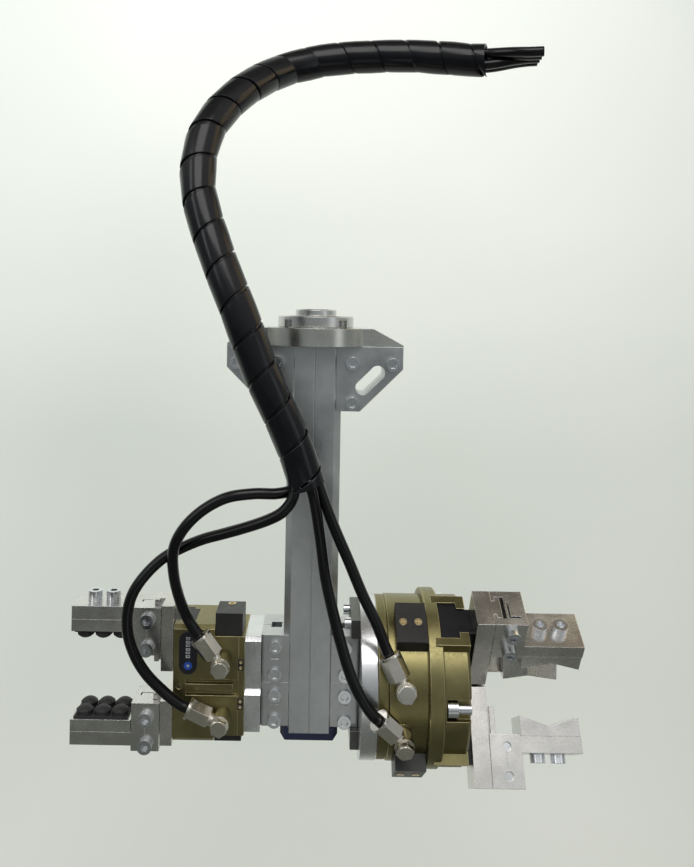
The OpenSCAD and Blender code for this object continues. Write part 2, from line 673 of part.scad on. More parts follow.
module right_jaw_1_base() right_base(30);
module right_jaw_1_rail() right_rail(30);
module right_jaw_1_finger() right_finger(30);
module right_jaw_1_vee() right_vee(30);
module right_jaw_1_screws() color(zinc) right_jaw_screws(30, false);
module right_jaw_2_base() right_base(150);
module right_jaw_2_rail() right_rail(150);
module right_jaw_2_finger() right_finger(150);
module right_jaw_2_vee() right_vee(150);
module right_jaw_2_screws() color(zinc) right_jaw_screws(150, false);
module right_jaw_3_base() right_base(270);
module right_jaw_3_rail() right_rail(270);
module right_jaw_3_finger() right_finger(270);
module right_jaw_3_vee() right_vee(270);
module right_jaw_3_screws() color(zinc) right_jaw_screws(270, false);

// ---------------------------------------------------------------- sensors and air fittings
module sensor_brackets() color([0.03, 0.03, 0.03]) difference() {
  union() {
    translate([-70.8, -21, -239.4]) cube([20.3, 26, 16.4]);
    translate([-70.5, -20, -318.5]) cube([20, 25, 5.5]);
    for (a = [36, 144]) jaw(a) translate([62, -16, 56]) cube([22, 32, 12]);
    rear_inserts();
  }
  sensor_screw_set(true);
}

module sensor_screw_set(plain) {
  translate([-60.5, 0, -225]) cap_screw(4, 3, 2.4, 20, plain);
  translate([-60.5, 0, -317]) down() cap_screw(4, 3, 1.5, 10, plain);
  for (a = [36, 144]) jaw(a) for (x = [67, 78])
    translate([x, 0, 66.4]) cap_screw(3, 2.8, 2.2, 16, plain);
  for (z = [-258.3, -262.5, -287.4, -291.6]) translate([-51.3, -lg_d + 0.1, z]) front()
    cap_screw(1.6, 1.3, 0.9, 4, plain);
  translate([-97, -lg_d + 2.4, -277]) front() cylinder(h = 2, r = 2.2);
}

module sensor_screws() color([0.75, 0.62, 0.35]) sensor_screw_set(false);

// A banjo ring with its union nut. The bolt's axis is +Z and the hose leaves along +X.
module banjo_fitting() difference() {
  union() {
    cylinder(h = 4.2, r = 6.2);
    translate([0, 0, 4]) cylinder(h = 9, r = 7);
    translate([0, 0, 8.5]) right() cylinder(h = 12, r = 4.6);
    translate([9.5, 0, 8.5]) right() rotate([0, 0, 30]) cylinder(h = 15.5, r = nut_af / 1.7321,
      $fn = 6);
    translate([24.5, 0, 8.5]) right() cylinder(h = 2, r = 8);
    translate([8.4, 0, 8.5]) right() cylinder(h = 1.5, r = 6);
  }
  translate([0, 0, -1]) cylinder(h = 20, r = 4.9);
}

module banjo_bolt() {
  translate([0, 0, -7.5]) cylinder(h = 21, r = 4.9);
  translate([0, 0, 13]) cylinder(h = 5, r = 6.6, $fn = 6);
  translate([0, 0, 17.5]) cylinder(h = 1, r = 5.5);
}

// Put a fitting or a bolt at each of the four ports.
module at_ports() {
  translate([-65.2, -lg_d, -257.5]) front() rotate([0, 0, 127]) children();
  translate([-65.2, -lg_d, -299.8]) front() rotate([0, 0, 155.5]) children();
  for (f = right_ports) jaw(f[0]) translate([f[1], 0, 58]) rotate([0, 0, 0]) rotate([0, 0, f[2]])
    mirror([0, 0, 0]) children();
}

module banjo_fittings() color([0.75, 0.73, 0.65]) at_ports() banjo_fitting();
module banjo_bolts() color([0.7, 0.68, 0.6]) at_ports() banjo_bolt();

// ---------------------------------------------------------------- hoses
module hose_a() color(dark) swept(route_a, hose_r, 10, 1);
module hose_b() color(dark) swept(route_b, hose_r, 10, 1);
module hose_c() color(dark) swept(route_c, hose_r, 10, 1);
module hose_d() color(dark) swept(route_d, hose_r, 10, 1);
module hose_bundle() color(dark) swept(route_w, wrap_r, 12, 1);

tool_flange();
flange_plate();
gusset_left();
gusset_right();
column();
column_end_cap();
clamp_left_upper();
clamp_left_lower();
clamp_right_upper();
clamp_right_lower();
left_adapter_plate();
right_adapter_plate();
m4_tie_screws();
m5_screws();
m6_cap_screws();
m8_cap_screws();
left_housing();
left_rear_cover();
left_label();
sensor_brackets();
sensor_screws();
banjo_bolts();
banjo_fittings();
right_base_disc();
right_body();
right_jaw_guide();
left_piston();
left_jaw_upper_base();
left_jaw_upper_rail();
left_jaw_upper_finger();
left_jaw_upper_pad_plate();
left_jaw_upper_pads();
left_jaw_upper_screws();
left_jaw_lower_base();
left_jaw_lower_rail();
left_jaw_lower_finger();
left_jaw_lower_pad_plate();
left_jaw_lower_pads();
left_jaw_lower_screws();
right_piston();
right_jaw_1_base();
right_jaw_1_rail();
right_jaw_1_finger();
right_jaw_1_vee();
right_jaw_1_screws();
right_jaw_2_base();
right_jaw_2_rail();
right_jaw_2_finger();
right_jaw_2_vee();
right_jaw_2_screws();
right_jaw_3_base();
right_jaw_3_rail();
right_jaw_3_finger();
right_jaw_3_vee();
right_jaw_3_screws();
hose_a();
hose_b();
hose_c();
hose_d();
hose_bundle();
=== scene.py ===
"""Looks for the double pneumatic gripper tool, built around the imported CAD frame."""
import json
import math

import bmesh
import bpy
from mathutils import Matrix, Vector


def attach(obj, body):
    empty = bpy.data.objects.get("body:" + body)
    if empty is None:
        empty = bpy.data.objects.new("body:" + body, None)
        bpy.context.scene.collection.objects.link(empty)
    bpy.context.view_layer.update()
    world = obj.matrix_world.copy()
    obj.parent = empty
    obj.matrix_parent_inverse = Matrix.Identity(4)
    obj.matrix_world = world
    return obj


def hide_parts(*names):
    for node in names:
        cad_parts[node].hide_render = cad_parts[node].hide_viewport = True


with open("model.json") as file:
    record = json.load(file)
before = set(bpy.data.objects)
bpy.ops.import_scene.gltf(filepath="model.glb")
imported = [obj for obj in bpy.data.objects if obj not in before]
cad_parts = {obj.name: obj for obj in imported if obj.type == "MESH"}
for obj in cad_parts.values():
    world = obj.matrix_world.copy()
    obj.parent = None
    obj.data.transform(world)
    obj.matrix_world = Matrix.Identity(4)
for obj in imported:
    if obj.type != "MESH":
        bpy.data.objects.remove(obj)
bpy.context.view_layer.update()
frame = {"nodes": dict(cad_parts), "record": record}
MM = 0.001

# ---------------------------------------------------------------- camera
cam_data = bpy.data.cameras.new("camera")
cam = bpy.data.objects.new("camera", cam_data)
bpy.context.scene.collection.objects.link(cam)
cam_data.sensor_fit = "HORIZONTAL"
cam_data.sensor_width = 36.0
cam_data.lens = 43.05
cam_data.shift_x = 0.0389
cam_data.shift_y = -0.178
cam.matrix_world = (Matrix.Translation((0.003, -0.640, 0.0045))
                    @ Matrix.Rotation(math.radians(90), 4, "X")
                    @ Matrix.Rotation(0.0175, 4, "Z"))
bpy.context.scene.camera = cam


# ---------------------------------------------------------------- node helpers
class Mat:
    """A node material with short ways to add and join nodes."""

    def __init__(self, name, color, metallic=0.0, rough=0.4, **sockets):
        self.m = bpy.data.materials.new(name)
        self.m.use_nodes = True
        self.nt = self.m.node_tree
        self.nt.nodes.clear()
        self.out = self.add("ShaderNodeOutputMaterial")
        self.b = self.add("ShaderNodeBsdfPrincipled")
        self.nt.links.new(self.b.outputs[0], self.out.inputs[0])
        self.b.inputs["Base Color"].default_value = (*color, 1)
        self.b.inputs["Metallic"].default_value = metallic
        self.b.inputs["Roughness"].default_value = rough
        for k, v in sockets.items():
            self.b.inputs[k.replace("_", " ")].default_value = v
        self.tc = self.add("ShaderNodeTexCoord")
        self.normal = None

    def add(self, kind, **kw):
        n = self.nt.nodes.new(kind)
        for k, v in kw.items():
            setattr(n, k, v)
        return n

    def put(self, socket, v):
        if isinstance(v, bpy.types.NodeSocket):
            self.nt.links.new(v, socket)
        elif isinstance(v, (tuple, list)) and len(v) == 3 and socket.type == "RGBA":
            socket.default_value = (*v, 1)
        else:
            socket.default_value = v

    def where(self, scale=(1, 1, 1), loc=(0, 0, 0), rot=(0, 0, 0)):
        n = self.add("ShaderNodeMapping")
        self.put(n.inputs["Vector"], self.tc.outputs["Object"])
        n.inputs["Location"].default_value = loc
        n.inputs["Rotation"].default_value = rot
        n.inputs["Scale"].default_value = scale
        return n.outputs[0]

    def noise(self, scale=100, detail=3, rough=0.5, stretch=(1, 1, 1), distortion=0.0):
        n = self.add("ShaderNodeTexNoise")
        self.put(n.inputs["Vector"], self.where(stretch))
        n.inputs["Scale"].default_value = scale
        n.inputs["Detail"].default_value = detail
        n.inputs["Roughness"].default_value = rough
        n.inputs["Distortion"].default_value = distortion
        return n.outputs[0]

    def ramp(self, fac, lo, hi, a, b):
        n = self.add("ShaderNodeMapRange")
        self.put(n.inputs["Value"], fac)
        for k, v in zip(("From Min", "From Max", "To Min", "To Max"), (lo, hi, a, b)):
            n.inputs[k].default_value = v
        return n.outputs[0]

    def math(self, op, a, b=0.0):
        n = self.add("ShaderNodeMath", operation=op)
        self.put(n.inputs[0], a)
        self.put(n.inputs[1], b)
        return n.outputs[0]

    def mix(self, fac, a, b, mode="MIX"):
        n = self.add("ShaderNodeMix", data_type="RGBA", blend_type=mode)
        self.put(n.inputs[0], fac)
        self.put(n.inputs[6], a)
        self.put(n.inputs[7], b)
        return n.outputs[2]

    def edges(self, radius, lo=0.995, hi=0.93):
        """1 along sharp edges, 0 on open faces."""
        bev = self.add("ShaderNodeBevel", samples=6)
        bev.inputs["Radius"].default_value = radius
        geo = self.add("ShaderNodeNewGeometry")
        dot = self.add("ShaderNodeVectorMath", operation="DOT_PRODUCT")
        self.put(dot.inputs[0], bev.outputs[0])
        self.put(dot.inputs[1], geo.outputs["Normal"])
        return self.ramp(dot.outputs["Value"], lo, hi, 0.0, 1.0)

    def round_edges(self, radius):
        bev = self.add("ShaderNodeBevel", samples=6)
        bev.inputs["Radius"].default_value = radius
        self.normal = bev.outputs[0]
        self.put(self.b.inputs["Normal"], self.normal)

    def bump(self, height, distance, strength=1.0):
        n = self.add("ShaderNodeBump")
        n.inputs["Strength"].default_value = strength
        n.inputs["Distance"].default_value = distance
        self.put(n.inputs["Height"], height)
        if self.normal is not None:
            self.put(n.inputs["Normal"], self.normal)
        self.normal = n.outputs[0]
        self.put(self.b.inputs["Normal"], self.normal)

    def color(self, v):
        self.put(self.b.inputs["Base Color"], v)

    def rough(self, v):
        self.put(self.b.inputs["Roughness"], v)


def aluminium(name, color, rough, grain=(1, 1, 1), edge_wear_and_highlight=0.35, streak=0.05, edge=0.0005):
    """Milled metal: fine tool marks along one way, cloudy handling marks, and edges painted bright, partly
    as bare-metal wear and partly as painted highlight.
    """
    m = Mat(name, color, 1.0, rough)
    m.round_edges(edge)
    lines = m.noise(2600, 2, 0.6, grain)
    cloud = m.noise(38, 4, 0.6)
    spots = m.noise(420, 3, 0.7)
    dark = tuple(c * 0.86 for c in color)
    light = tuple(min(1, c * 1.06) for c in color)
    c = m.mix(m.ramp(cloud, 0.35, 0.7, 0, 1), dark, light)
    c = m.mix(m.ramp(spots, 0.62, 0.75, 0, 0.35), c, tuple(x * 0.6 for x in color))
    # Edges painted near white: partly bare-metal wear, partly painted highlight.
    c = m.mix(m.math("MULTIPLY", m.edges(edge), edge_wear_and_highlight), c, (0.95, 0.95, 0.95))
    m.color(c)
    r = m.math("ADD", m.ramp(lines, 0.3, 0.7, -streak, streak), rough)
    m.rough(m.math("ADD", r, m.ramp(cloud, 0.3, 0.7, -0.05, 0.07)))
    m.bump(lines, 0.000012, 0.5)
    return m


def turned(name, color, rough, axis, centre, edge_wear_and_highlight, dark, pitch=0.00045, spark=None):
    """Turned metal: fine rings about an axis, which draws the light out into a cone."""
    m = Mat(name, color, 1.0, rough)
    m.round_edges(0.0005)
    w = m.add("ShaderNodeTexWave", wave_type="RINGS", rings_direction=axis)
    m.put(w.inputs["Vector"], m.where((1, 1, 1), tuple(-c for c in centre)))
    w.inputs["Scale"].default_value = 0.3 / pitch
    w.inputs["Distortion"].default_value = 1.2
    w.inputs["Detail"].default_value = 2
    cloud = m.noise(30, 4, 0.6)
    spots = m.noise(700, 2, 0.7)
    c = m.mix(m.ramp(cloud, 0.35, 0.7, 0, 1), tuple(x * dark for x in color), color)
    c = m.mix(m.ramp(spots, 0.6, 0.8, 0, 0.25), c, tuple(x * 0.55 for x in color))
    # Edges painted toward the spark colour: partly bare-metal wear, partly painted highlight.
    c = m.mix(m.math("MULTIPLY", m.edges(0.0006), edge_wear_and_highlight), c, spark or (0.95, 0.95, 0.95))
    m.color(c)
    m.rough(m.math("ADD", m.ramp(w.outputs[1], 0, 1, -0.06, 0.06), m.ramp(cloud, 0.3, 0.7,
            rough - 0.04, rough + 0.07)))
    m.b.inputs["Anisotropic"].default_value = 0.55
    t = m.add("ShaderNodeTangent", direction_type="RADIAL", axis=axis)
    m.put(m.b.inputs["Tangent"], t.outputs[0])
    m.bump(w.outputs[1], 0.00002, 0.5)
    return m


def plastic(name, color, rough, grain=900, depth=0.00006, coat=0.0, edge=0.0004, scuff=0.3):
    """Moulded plastic or rubber: fine grain, faint scuffs, and soft edges painted lighter, partly as
    scuffing and partly as painted highlight.
    """
    m = Mat(name, color, 0.0, rough)
    m.round_edges(edge)
    g = m.noise(grain, 2, 0.6)
    cloud = m.noise(45, 4, 0.65)
    lift = tuple(min(1, c * 2.2 + 0.012) for c in color)
    c = m.mix(m.ramp(cloud, 0.4, 0.75, 0, scuff), color, lift)
    # Edges painted lighter: partly scuffing, partly painted highlight.
    c = m.mix(m.math("MULTIPLY", m.edges(edge), 0.35), c, tuple(min(1, x * 3 + 0.03) for x in color))
    m.color(c)
    m.rough(m.ramp(cloud, 0.3, 0.7, rough - 0.05, rough + 0.10))
    if coat:
        m.b.inputs["Coat Weight"].default_value = coat
        m.b.inputs["Coat Roughness"].default_value = 0.12
    m.bump(g, depth, 0.6)
    return m


# ---------------------------------------------------------------- materials
M = {}
M["polished_aluminium"] = turned("flange_metal", (0.80, 0.80, 0.79), 0.20, "Z", (0, 0, 0), 0.5, 0.85)
M["disc"] = turned("disc_metal", (0.80, 0.81, 0.83), 0.22, "X", (0, 0, -0.275), 0.5, 0.85)
M["machined_aluminium"] = aluminium("milled_metal", (0.72, 0.72, 0.72), 0.27, (1, 0.05, 1))
M["plate_metal"] = aluminium("plate_metal", (0.70, 0.70, 0.66), 0.30, (0.05, 1, 1))
M["clamp_metal"] = aluminium("clamp_metal", (0.62, 0.63, 0.64), 0.34, (1, 1, 0.06))
M["adapter_metal"] = aluminium("adapter_metal", (0.82, 0.83, 0.85), 0.22, (1, 1, 0.05), 0.6)
M["finger_metal"] = aluminium("finger_metal", (0.74, 0.73, 0.71), 0.26, (0.06, 1, 1), 0.5)
M["rail_metal"] = aluminium("rail_metal", (0.74, 0.72, 0.69), 0.24, (1, 1, 0.06), 0.5)
M["column_aluminium"] = aluminium("column_metal", (0.66, 0.68, 0.69), 0.36, (1, 1, 0.03), 0.3, 0.06, 0.0004)
M["dark_plate"] = aluminium("dark_plate", (0.16, 0.16, 0.15), 0.42, (1, 1, 0.1), 0.25)
M["zinc_steel"] = aluminium("zinc_steel", (0.78, 0.80, 0.83), 0.20, (1, 1, 1), 0.5, 0.05, 0.0003)
M["hardened_steel"] = aluminium("ground_steel", (0.58, 0.58, 0.58), 0.22, (0.05, 1, 1), 0.4)
M["black_steel"] = aluminium("black_steel", (0.045, 0.045, 0.05), 0.42, (1, 0.1, 1), 0.12)
M["nickel_plated"] = aluminium("nickel_plate", (0.80, 0.76, 0.68), 0.17, (1, 1, 1), 0.35, 0.04, 0.0004)
M["brass_screw"] = aluminium("brass_screw", (0.80, 0.66, 0.38), 0.25, (1, 1, 1), 0.4, 0.05, 0.0002)


def anodised(name, grain, edge_gold=0.75):
    """Olive hard-anodised aluminium: speckled, satin, with pale gold painted along its edges, partly as
    wear and partly as painted highlight.
    """
    base = (0.25, 0.225, 0.11)
    m = Mat(name, base, 1.0, 0.36)
    m.round_edges(0.0006)
    lines = m.noise(700, 2, 0.6, grain)
    cloud = m.noise(26, 5, 0.6)
    spots = m.noise(1500, 2, 0.7)
    c = m.mix(m.ramp(cloud, 0.3, 0.7, 0, 1), (0.19, 0.172, 0.082), (0.31, 0.275, 0.13))
    c = m.mix(m.ramp(spots, 0.55, 0.75, 0, 0.4), c, (0.10, 0.095, 0.055))
    # Pale gold along the edges, the colour of the olive's highlights: partly wear, partly painted
    # highlight.
    c = m.mix(m.math("MULTIPLY", m.edges(0.0007), edge_gold), c, (0.80, 0.70, 0.42))
    m.color(c)
    m.rough(m.math("ADD", m.ramp(lines, 0.3, 0.7, -0.06, 0.08), m.ramp(cloud, 0.3, 0.7, 0.30, 0.42)))
    m.bump(lines, 0.00003, 0.5)
    return m


M["olive_anodised"] = anodised("olive_anodised", (1, 1, 0.08))
# Its edges take the same pale gold: partly wear, partly painted highlight.
M["olive_turned"] = turned("olive_turned", (0.27, 0.24, 0.11), 0.30, "X", (0, 0, -0.275), 0.8, 0.7,
                           0.0006, (0.80, 0.70, 0.42))
M["cap_plastic"] = plastic("cap_plastic", (0.012, 0.016, 0.05), 0.38)
M["black_plastic"] = plastic("bracket_plastic", (0.016, 0.016, 0.016), 0.42)
M["pad_rubber"] = plastic("pad_rubber", (0.014, 0.014, 0.015), 0.55, 1400, 0.00008, 0.0, 0.0004, 0.45)
M["hose_plastic"] = plastic("hose_plastic", (0.004, 0.004, 0.005), 0.16, 500, 0.000004, 0.0, 0.0003, 0.15)
M["wrap_plastic"] = plastic("wrap_plastic", (0.005, 0.0055, 0.008), 0.17, 500, 0.000006, 0.0, 0.0003, 0.15)
M["label"] = plastic("label_print", (0.006, 0.006, 0.012), 0.2, 500, 0.00001, 0.6)

for n in ("hose_plastic", "wrap_plastic"):
    M[n].b.inputs["Specular IOR Level"].default_value = 0.32

by_node = {
    "right_base_disc": "disc", "right_body": "olive_turned", "flange_plate": "plate_metal",
    "left_adapter_plate": "adapter_metal",
}
for n in ("gusset_left", "gusset_right", "clamp_left_upper", "clamp_left_lower",
          "clamp_right_upper", "clamp_right_lower"):
    by_node[n] = "clamp_metal"
slots = {s["node"]: s["material_slot"] for s in frame["record"]["subparts"]}
for n, o in frame["nodes"].items():
    key = by_node.get(n, slots[n])
    if n.endswith("_rail"):
        key = "rail_metal"
    elif n.endswith(("_finger", "_vee", "_pad_plate")):
        key = "finger_metal"
    o.data.materials.clear()
    o.data.materials.append(M[key].m)


# ---------------------------------------------------------------- routes of the cords
def spot(p, i, t):
    n = len(p) - 1
    a = p[i - 1] if i > 0 else p[0] * 2 - p[1]
    b, c = p[i], p[i + 1]
    d = p[i + 2] if i + 2 <= n else p[n] * 2 - p[n - 1]
    return 0.5 * (2 * b + (c - a) * t + (2 * a - 5 * b + 4 * c - d) * t * t
                  + (3 * b - a - 3 * c + d) * t * t * t)


def line_of(route, m):
    p = [Vector(q) * MM for q in route]
    return [spot(p, i, j / m) for i in range(len(p) - 1) for j in range(m)] + [p[-1]]


def length_of(q):
    return sum((b - a).length for a, b in zip(q, q[1:]))


route = {
    "a": [(-81.15, -31.5, -236.33), (-85.36, -31.5, -230.74), (-90.5, -32.5, -221.5),
          (-95.5, -38.5, -205.5), (-98, -48, -186), (-97, -57, -166), (-90, -61, -150.5),
          (-77, -62, -137), (-60, -62, -127.5), (-41, -61, -124.5), (-25, -58, -124.8),
          (-13, -55.5, -122), (-7, -55.5, -115), (-6.5, -57, -108)],
    "b": [(-89.3, -31.5, -288.81), (-95.67, -31.5, -285.91), (-106.5, -34, -276),
          (-118, -39, -261.5), (-126, -43, -246), (-130.5, -46, -229.5), (-130.5, -47.5, -213),
          (-126.5, -48, -199), (-118, -47, -186.5), (-106.5, -45.5, -175.5), (-94, -46, -168),
          (-78, -48.5, -160.5), (-61, -53, -154.5), (-45, -58, -148.5), (-31, -62, -142.5),
          (-21, -64.5, -136.5), (-14.5, -65, -128.5), (-12.3, -64, -120.5),
          (-13.5, -63.5, -113)],
    "c": [(48.14, -69.16, -276.81), (43.27, -70.67, -272.01), (35, -71.5, -259.5),
          (28, -69.5, -245), (21.5, -65.5, -226), (15, -62, -203), (10, -61, -181.5),
          (6.7, -62, -160), (3.5, -64.5, -140), (0.5, -66.5, -124), (-2, -67, -115)],
    "d": [(55.7, -59.22, -236.39), (52.63, -57.76, -230.26), (46.5, -57, -215),
          (36.5, -58, -195), (26, -59.5, -170.5), (15.5, -60.5, -147), (7.5, -60.5, -127),
          (3.5, -60.5, -116), (1, -60.8, -109)],
    "w": [(-3.5, -61.5, -118), (-12, -64, -93), (-21, -66, -72), (-33, -67, -48),
          (-42, -67, -27), (-52, -66, 0), (-63, -62, 25), (-74, -56, 52), (-83, -50, 78),
          (-87, -44, 97), (-85, -35, 125), (-76, -20, 149), (-56, 4, 176), (-28, 38, 200.5),
          (4.5, 46, 211), (32.5, 46.5, 214), (65.5, 46, 215.5), (91, 42, 214),
          (113.5, 36, 210.5), (133, 30, 208), (155.5, 24, 209), (178, 20, 209.5)],
}


class Path:
    """A line with arc length and a frame that doesn't twist."""

    def __init__(self, q):
        self.q = q
        self.s = [0.0]
        for a, b in zip(q, q[1:]):
            self.s.append(self.s[-1] + (b - a).length)
        self.len = self.s[-1]
        self.t = [(q[min(i + 1, len(q) - 1)] - q[max(i - 1, 0)]).normalized() for i in range(len(q))]
        e = self.t[0].cross(Vector((0.31, 1, 0.17))).normalized()
        self.e = [e]
        for i in range(1, len(q)):
            e = self.t[i - 1].rotation_difference(self.t[i]) @ e
            e = (e - self.t[i] * e.dot(self.t[i])).normalized()
            self.e.append(e)

    def at(self, s):
        s = max(0.0, min(self.len, s))
        lo, hi = 0, len(self.s) - 1
        while hi - lo > 1:
            mid = (lo + hi) // 2
            if self.s[mid] <= s:
                lo = mid
            else:
                hi = mid
        f = (s - self.s[lo]) / (self.s[hi] - self.s[lo])
        t = self.t[lo].lerp(self.t[hi], f).normalized()
        e = self.e[lo].lerp(self.e[hi], f)
        e = (e - t * e.dot(t)).normalized()
        return self.q[lo].lerp(self.q[hi], f), t, e, t.cross(e)


def mesh_object(name, verts, faces, mats, smooth=True, ids=None):
    me = bpy.data.meshes.new(name)
    me.from_pydata([tuple(v) for v in verts], [], faces)
    for m in mats:
        me.materials.append(m)
    if ids:
        for p, k in zip(me.polygons, ids):
            p.material_index = k
    me.validate()
    for p in me.polygons:
        p.use_smooth = smooth
    o = bpy.data.objects.new(name, me)
    bpy.context.scene.collection.objects.link(o)
    return o


def tube(verts, faces, path, s0, s1, r, sides=20, off=(0, 0), step=0.002, bore=0.6):
    """A round tube from s0 to s1, with a bored end at each end."""
    n = max(2, int(round((s1 - s0) / step)))
    base = len(verts)
    rows = [(s0, r * bore, 0.002), (s0, r * bore, 0), (s0, r * 0.93, 0), (s0, r, 0.0004)]
    rows += [(s0 + (s1 - s0) * i / n, r, 0) for i in range(1, n)]
    rows += [(s1, r, -0.0004), (s1, r * 0.93, 0), (s1, r * bore, 0), (s1, r * bore, -0.002)]
    for s, rad, shift in rows:
        p, t, e, f = path.at(s + shift)
        for k in range(sides):
            a = 2 * math.pi * k / sides
            verts.append(p + e * (off[0] + rad * math.cos(a)) + f * (off[1] + rad * math.sin(a)))
    for i in range(len(rows) - 1):
        for k in range(sides):
            faces.append((base + i * sides + k, base + i * sides + (k + 1) % sides,
                          base + (i + 1) * sides + (k + 1) % sides, base + (i + 1) * sides + k))
    faces.append(tuple(base + k for k in range(sides - 1, -1, -1)))
    faces.append(tuple(base + (len(rows) - 1) * sides + k for k in range(sides)))


for h in "abcd":
    line = line_of(route[h], 8)
    path = Path(line)
    verts, faces = [], []
    tube(verts, faces, path, 0.0, path.len, 0.004)
    hose = mesh_object("air_hose_" + h, verts, faces, [M["hose_plastic"].m])
    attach(hose, "frame")
    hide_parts("hose_" + h)

# The bundle: a helical band round four hoses, each turn a straight barrel of its own.
line = line_of(route["w"], 8)
path = Path(line)
pitch, gap, wrap_len = 0.0268, 0.0014, path.len - 0.046
steps = 28
start_angle = 0.8
turns = wrap_len / pitch
profile = [(0.0, 0.01235), (0.02, 0.01285), (0.10, 0.01300), (0.50, 0.01305), (0.90, 0.01300),
           (0.98, 0.01285), (1.0, 0.01235), (1.0, 0.01160), (0.0, 0.01160)]
verts, faces, ids = [], [], []
count = int((turns + 1) * steps)
for i in range(count + 1):
    phi = i / steps - 1.0
    s0 = phi * pitch
    _, t, e, f = path.at(s0 + pitch / 2)
    a = 2 * math.pi * (i / steps) + start_angle
    out = e * math.cos(a) + f * math.sin(a)
    wob = 0.00012 * math.sin(3.1 * phi) + 0.0001 * math.sin(11.3 * phi)
    sa = max(0.0, min(wrap_len, s0 + gap / 2))
    sb = max(0.0, min(wrap_len, s0 + pitch - gap / 2))
    pa, pb = path.at(sa)[0], path.at(sb)[0]
    for u, r in profile:
        s = max(0.0, min(wrap_len, s0 + gap / 2 + u * (pitch - gap)))
        v = (s - sa) / (sb - sa) if sb > sa else 0.0
        lobe = 0.00025 * math.cos(4 * a) * math.sin(math.pi * u)
        verts.append(pa.lerp(pb, v) + out * (r + lobe + wob * math.sin(math.pi * u)))
m = len(profile)
for i in range(count):
    for k in range(m):
        faces.append((i * m + k, (i + 1) * m + k, (i + 1) * m + (k + 1) % m, i * m + (k + 1) % m))
        ids.append(0)
faces.append(tuple(range(m)))
faces.append(tuple(count * m + k for k in range(m - 1, -1, -1)))
ids += [0, 0]
nf = len(faces)
tube(verts, faces, path, 0.010, wrap_len - 0.004, 0.0114, 24, bore=0.98)
# Inside the band the four hoses lie two by two; beyond it they spread into a flat row.
packed = ((-0.0045, 0.0045), (0.0045, 0.0045), (-0.0045, -0.0045), (0.0045, -0.0045))
tail_points = 24
for k, (across, above) in enumerate(packed):
    tail = []
    for i in range(tail_points + 1):
        g = i / tail_points
        p, t, e, f = path.at(wrap_len - 0.012 + (path.len - wrap_len + 0.0105) * g)
        side = Vector((0, 0, 1)).cross(t).normalized()
        up = t.cross(side)
        h = max(0.0, min(1.0, (g - 0.2) / 0.7))
        h = h * h * (3 - 2 * h)
        bunched = side * across + up * above
        in_row = side * (-0.0126 + 0.0084 * k)
        tail.append(p + bunched.lerp(in_row, h))
    way = Path(tail)
    tube(verts, faces, way, 0, way.len - 0.001 * k, 0.004, 16)
ids += [1] * (len(faces) - nf)
bundle = mesh_object("wrapped_hose_bundle", verts, faces, [M["wrap_plastic"].m, M["hose_plastic"].m],
                     True, ids)
bm = bmesh.new()
bm.from_mesh(bundle.data)
bmesh.ops.remove_doubles(bm, verts=bm.verts, dist=1e-6)
bmesh.ops.dissolve_degenerate(bm, dist=1e-6, edges=bm.edges)
bmesh.ops.recalc_face_normals(bm, faces=bm.faces)
bm.to_mesh(bundle.data)
bm.free()
bundle.data.set_sharp_from_angle(angle=math.radians(40))
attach(bundle, "frame")
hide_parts("hose_bundle")

# Print on the oval label: a column of plain white marks and a blue disc with a white dot.
white = plastic("print_white", (0.45, 0.47, 0.50), 0.35, 500, 0.000004, 0.0, 0.0001, 0.1)
blue = plastic("print_blue", (0.02, 0.08, 0.40), 0.3, 500, 0.000004, 0.0, 0.0001, 0.1)
verts, faces, ids = [], [], []


def flat(pts, y, k):
    """A thin plate of material k with its front face at y, in millimetres."""
    n = len(verts)
    for dy in (0.0, 0.03):
        verts.extend(Vector((x, y + dy, z)) * MM for x, z in pts)
    m = len(pts)
    faces.append(tuple(n + i for i in range(m)))
    faces.append(tuple(n + m + i for i in reversed(range(m))))
    faces.extend((n + (i + 1) % m, n + i, n + m + i, n + m + (i + 1) % m) for i in range(m))
    ids.extend([k] * (m + 2))


label_x, dot_z, mark_y, top_y = -90.5, -261.5, -23.64, -23.68
for i in range(6):
    z = -240.2 - 2.7 * i
    tall = 2.0 if i % 2 else 1.7
    flat([(-92.2, z), (-89.0, z), (-89.0, z - tall), (-92.2, z - tall)], mark_y, 0)
    flat([(-91.4, z - 0.5), (-89.4, z - 0.5), (-89.4, z - 1.1), (-91.4, z - 1.1)], top_y, 2)
circle = [(math.cos(i * math.pi / 12), -math.sin(i * math.pi / 12)) for i in range(24)]
flat([(label_x + 3.1 * x, dot_z + 3.1 * z) for x, z in circle], mark_y, 1)
flat([(label_x + 1.0 * x, dot_z + 1.0 * z) for x, z in circle], top_y, 0)
marks = mesh_object("label_marks", verts, faces, [white.m, blue.m, M["label"].m], False, ids)
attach(marks, "frame")

# ---------------------------------------------------------------- stage
back = Mat("backdrop", (0.75, 0.78, 0.74), 0.0, 0.9)
cloud = back.noise(0.9, 2, 0.4)
wall = back.mix(back.ramp(cloud, 0.35, 0.65, 0, 1), (0.68, 0.72, 0.67), (0.80, 0.82, 0.78))
sep = back.add("ShaderNodeSeparateXYZ")
back.put(sep.inputs[0], back.tc.outputs["Object"])
# painted shade: the floor under and before the tool is darker; the backdrop is also darker towards the
# bottom
near = back.mix(back.ramp(sep.outputs[1], 0.10, 0.42, 0, 1), (0.16, 0.17, 0.155), wall)
low = back.mix(back.ramp(sep.outputs[2], -0.80, 0.0, 0, 1), (0.72, 0.72, 0.72), (1.0, 1.0, 1.0))
tone = back.mix(1.0, near, low, "MULTIPLY")
back.color(tone)
